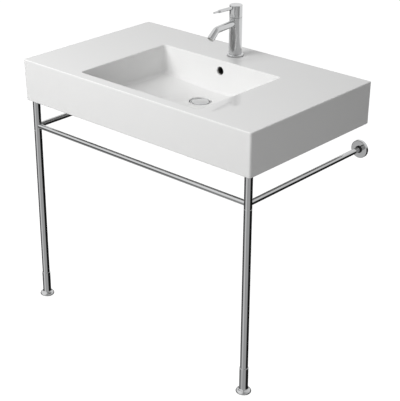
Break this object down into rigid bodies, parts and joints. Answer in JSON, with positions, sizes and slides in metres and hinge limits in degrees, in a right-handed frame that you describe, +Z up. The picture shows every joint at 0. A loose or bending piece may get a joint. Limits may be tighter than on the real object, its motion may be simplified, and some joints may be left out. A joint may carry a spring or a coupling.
{
  "type": "console washbasin with legs",
  "caption": "Rectangular ceramic console washbasin with a thick apron, lever tap, push waste and a chrome stand with front legs, rails and wall fixings.",
  "frame": {"origin": "on the floor, under the middle of the ceramic block", "axes": "+Z up, -Y towards the user, +Y towards the wall, X across the width; the wall is the plane of the basin back"},
  "size_m": [0.858, 0.52, 0.927],
  "materials": {
    "ceramic": "white gloss glaze",
    "chrome": "bright polished chrome plate",
    "rubber": "matt black rubber",
    "plastic": "natural moulded plastic",
    "brass": "bare machined brass",
    "steel": "zinc plated or stainless steel"
  },
  "bodies": {
    "console": {"basin": "ceramic", "tap_base_ring": "chrome", "tap_body": "chrome", "spout": "chrome", "waste_body": "chrome", "leg_upper_left": "chrome", "leg_lower_left": "chrome", "side_rail_left": "chrome", "leg_upper_right": "chrome", "leg_lower_right": "chrome", "side_rail_right": "chrome", "front_rail": "chrome", "tap_gasket": "rubber", "horseshoe_rubber": "rubber", "waste_top_seal": "rubber", "waste_lower_seal": "rubber", "leg_pad_left": "rubber", "leg_pad_right": "rubber", "aerator": "plastic", "cartridge_housing": "plastic", "plug_mechanism": "plastic", "leg_bush_left": "plastic", "leg_bush_right": "plastic", "rail_end_plugs": "plastic", "cartridge_nut": "brass", "waste_backnut": "brass", "foot_insert_left": "brass", "foot_insert_right": "brass", "leg_coupling_left": "brass", "leg_coupling_right": "brass", "inlet_tail_hot": "brass", "inlet_tail_cold": "brass", "tap_fixing_nut": "brass", "tap_fixing_stud": "steel", "horseshoe_plate": "steel", "leg_peg_left": "steel", "leg_peg_right": "steel", "wall_plate_left": "steel", "wall_plate_right": "steel", "rail_studs": "steel"},
    "tap_turn": {"cartridge_spindle": "brass", "cartridge_pivot_pin": "steel"},
    "tap_lever": {"lever_stem": "brass", "handle_cap": "chrome", "lever_collar": "chrome", "lever_pin": "chrome"},
    "plug": {"plug_cap": "chrome", "plug_seal": "rubber", "plug_plunger": "brass"},
    "foot_left": {"foot_shell_left": "chrome", "foot_pad_left": "plastic", "foot_stud_left": "steel"},
    "foot_right": {"foot_shell_right": "chrome", "foot_pad_right": "plastic", "foot_stud_right": "steel"},
    "cover_left": {"wall_cover_left": "chrome", "rail_collar_left": "rubber"},
    "cover_right": {"wall_cover_right": "chrome", "rail_collar_right": "rubber"}
  },
  "joints": [
    {"name": "temperature_turn", "type": "hinge", "parent": "console", "child": "tap_turn", "pos_m": [0, 0.182, 0.902], "axis": [0, 0, 1], "range_deg": [-50, 50]},
    {"name": "flow_lift", "type": "hinge", "parent": "tap_turn", "child": "tap_lever", "pos_m": [0, 0.182, 0.902], "axis": [-1, 0, 0], "range_deg": [0, 18]},
    {"name": "plug_push", "type": "slide", "parent": "console", "child": "plug", "axis": [0, 0, 1], "range_m": [0, 0.008]},
    {"name": "left_foot_height", "type": "slide", "parent": "console", "child": "foot_left", "axis": [0, 0, 1], "range_m": [-0.02, 0.015]},
    {"name": "right_foot_height", "type": "slide", "parent": "console", "child": "foot_right", "axis": [0, 0, 1], "range_m": [-0.02, 0.015]},
    {"name": "left_cover_slide", "type": "slide", "parent": "console", "child": "cover_left", "axis": [0, -1, 0], "range_m": [0, 0.08]},
    {"name": "right_cover_slide", "type": "slide", "parent": "console", "child": "cover_right", "axis": [0, -1, 0], "range_m": [0, 0.08]}
  ]
}
